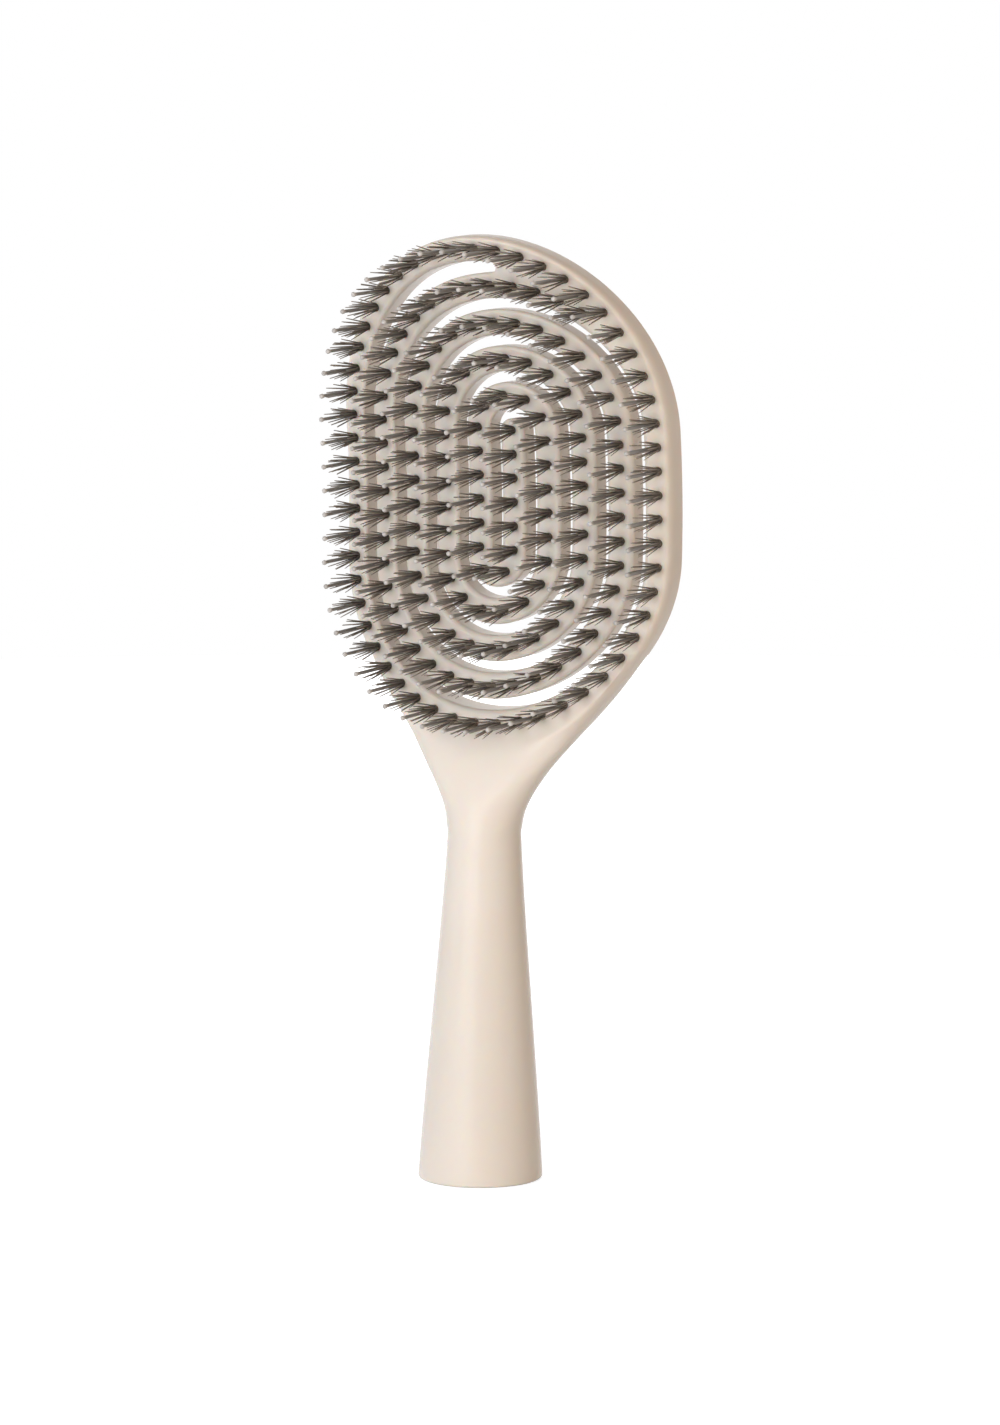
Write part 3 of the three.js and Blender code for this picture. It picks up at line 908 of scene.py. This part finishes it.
def seen_background(tree):
    """1 for what the camera, a reflection or a clear piece sees of the background, else 0."""
    path = tree.nodes.new("ShaderNodeLightPath")
    total = path.outputs["Is Camera Ray"]
    for name in ("Is Glossy Ray", "Is Transmission Ray"):
        either = tree.nodes.new("ShaderNodeMath")
        either.operation = "MAXIMUM"
        tree.links.new(total, either.inputs[0])
        tree.links.new(path.outputs[name], either.inputs[1])
        total = either.outputs[0]
    return total


def make_world():
    """A warm fill light whose background is seen as white."""
    world = bpy.data.worlds.new("studio")
    bpy.context.scene.world = world
    world.use_nodes = True
    tree = world.node_tree
    light = tree.nodes["Background"]
    light.inputs["Color"].default_value = (*WORLD_COLOUR, 1)
    light.inputs["Strength"].default_value = WORLD_STRENGTH
    white = tree.nodes.new("ShaderNodeBackground")
    white.inputs["Color"].default_value = (*WHITE, 1)
    mix = tree.nodes.new("ShaderNodeMixShader")
    tree.links.new(seen_background(tree), mix.inputs["Fac"])
    tree.links.new(light.outputs[0], mix.inputs[1])
    tree.links.new(white.outputs[0], mix.inputs[2])
    tree.links.new(mix.outputs[0], tree.nodes["World Output"].inputs["Surface"])


def make_floor():
    """A round floor that takes the shadow and is seen as white as the background."""
    mesh = bpy.data.meshes.new("floor")
    angles = np.linspace(0, 2 * math.pi, ROUND_SIDES, endpoint=False)
    edge = [(FLOOR_RADIUS * math.cos(angle), FLOOR_RADIUS * math.sin(angle), 0) for angle in angles]
    mesh.from_pydata(edge, [], [range(ROUND_SIDES)])
    floor = bpy.data.objects.new("floor", mesh)
    bpy.context.scene.collection.objects.link(floor)
    material, _, links, shader = new_material("floor_white")
    shader.inputs["Base Color"].default_value = (*FLOOR_COLOUR, 1)
    shader.inputs["Roughness"].default_value = FLOOR_ROUGHNESS
    shader.inputs["Specular IOR Level"].default_value = 0
    shader.inputs["Emission Color"].default_value = (*FLOOR_GLOW, 1)
    links.new(seen_background(material.node_tree), shader.inputs["Emission Strength"])
    mesh.materials.append(material)


def direction(azimuth, elevation):
    """A unit vector from the object; azimuth 0 is straight in front of the tufts."""
    level = math.cos(elevation)
    return Vector((math.sin(azimuth) * level, -math.cos(azimuth) * level, math.sin(elevation)))


def make_light(name, azimuth, elevation, distance, width, height, power, colour):
    """An area lamp that faces the brush, unseen by the camera; only one of them is reflected."""
    lamp = bpy.data.lights.new(name, "AREA")
    lamp.shape = "RECTANGLE"
    lamp.size = width
    lamp.size_y = height
    lamp.energy = power
    lamp.color = colour
    light = bpy.data.objects.new(name, lamp)
    back = direction(math.radians(azimuth), math.radians(elevation))
    light.location = Vector(LIGHT_AIM) + back * distance
    light.rotation_euler = back.to_track_quat("Z", "Y").to_euler()
    light.visible_camera = False
    light.visible_glossy = name == REFLECTED_LIGHT
    bpy.context.scene.collection.objects.link(light)


def make_camera():
    """The photograph's view: the target point lands on its pixel of the photograph's frame."""
    back = direction(CAMERA_AZIMUTH, CAMERA_ELEVATION)
    right = Vector((math.cos(CAMERA_AZIMUTH), math.sin(CAMERA_AZIMUTH), 0))
    up = back.cross(right)
    aside = PHOTO_SIZE[0] / 2 - TARGET_PIXEL[0]
    below = PHOTO_SIZE[1] / 2 - TARGET_PIXEL[1]
    ahead = (right * aside - up * below - back * FOCAL_PIXELS).normalized()
    level = ahead.cross(up).normalized()
    lens = bpy.data.cameras.new("photo_camera")
    lens.lens = lens.sensor_width * FOCAL_PIXELS / PHOTO_SIZE[1]
    camera = bpy.data.objects.new("photo_camera", lens)
    turn = Matrix((level, level.cross(ahead), -ahead)).transposed()
    place = (Vector(CAMERA_TARGET) + back * CAMERA_DISTANCE) * MM
    camera.matrix_world = Matrix.Translation(place) @ turn.to_4x4()
    bpy.context.scene.collection.objects.link(camera)
    bpy.context.scene.camera = camera


# Assembly

def tufts_between(start, end):
    """Lengths of the coil's tufts on a stretch of it."""
    return coil_tufts[(coil_tufts >= start) & (coil_tufts < end)]


def finish_piece(piece, slot, *nodes):
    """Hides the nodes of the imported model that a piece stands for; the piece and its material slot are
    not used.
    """
    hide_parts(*nodes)


ivory = plastic("ivory_plastic", IVORY_DARK, IVORY_PALE, IVORY_ROUGHNESS, IVORY_GRAIN)
cap_ivory = plastic("cap_plastic", CAP_DARK, CAP_PALE, CAP_ROUGHNESS, CAP_GRAIN)
bristle_fibre = fibre("bristle_fibre", BRISTLE_COLOURS_AND_ROOT_SHADE, BRISTLE_TONES, BRISTLE_ROUGHNESS)
pin_nylon = fibre("pin_nylon", PIN_COLOURS_AND_ROOT_SHADE, PIN_TONES, PIN_ROUGHNESS)
strand_materials = (bristle_fibre, pin_nylon)

root_tufts = tufts_between(root_cut, coil.total)
frame_centres = np.vstack([rim.at(rim_tufts)[0], coil.at(root_tufts)[0]])
shell = make_frame(frame_centres, ivory)
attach(shell, "frame")
finish_piece(shell, "ivory_plastic", "brush_frame")

cap = make_cap(cap_ivory)
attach(cap, "frame")
finish_piece(cap, "cap_plastic", "handle_end_cap")

frame_tufts = make_tufts("frame_tufts", frame_centres, strand_materials)
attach(frame_tufts, "frame")
finish_piece(frame_tufts, "bristle_fibre", "rim_bristles")

for turn, start, end in (
    ("inner", 0, inner_end), ("middle", middle_start, middle_end), ("outer", outer_start, outer_end),
):
    own = tufts_between(start, end)
    band = make_band(f"coil_{turn}_band", coil, start, end, own, ivory)
    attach(band, f"{turn}_turn")
    finish_piece(band, "ivory_plastic", f"coil_{turn}_turn")
    tufts = make_tufts(f"{turn}_tufts", coil.at(own)[0], strand_materials)
    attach(tufts, f"{turn}_turn")
    finish_piece(tufts, "bristle_fibre", f"{turn}_bristles")

# The stretches of band where one turn joins the next: name, the lengths along the coil where each starts
# and ends, and the bodies on either side
bends = (
    ("inner_middle", inner_end, middle_start, "inner_turn", "middle_turn"),
    ("middle_outer", middle_end, outer_start, "middle_turn", "outer_turn"),
    ("root", outer_end, root_cut, "outer_turn", "frame"),
)
for name, start, end, from_body, to_body in bends:
    own = tufts_between(start, end)
    pieces = [
        (make_band(f"{name}_bend", coil, start, end, own, ivory), "ivory_plastic"),
        (make_tufts(f"{name}_bend_tufts", coil.at(own)[0], strand_materials), "bristle_fibre"),
    ]
    (from_x, from_z), (to_x, to_z) = coil.at(np.array([start, end]))[0]
    for piece, slot in pieces:
        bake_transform(piece)

make_world()
make_floor()
for light in LIGHTS:
    make_light(*light)
make_camera()
bpy.context.scene.view_settings.view_transform = "Standard"
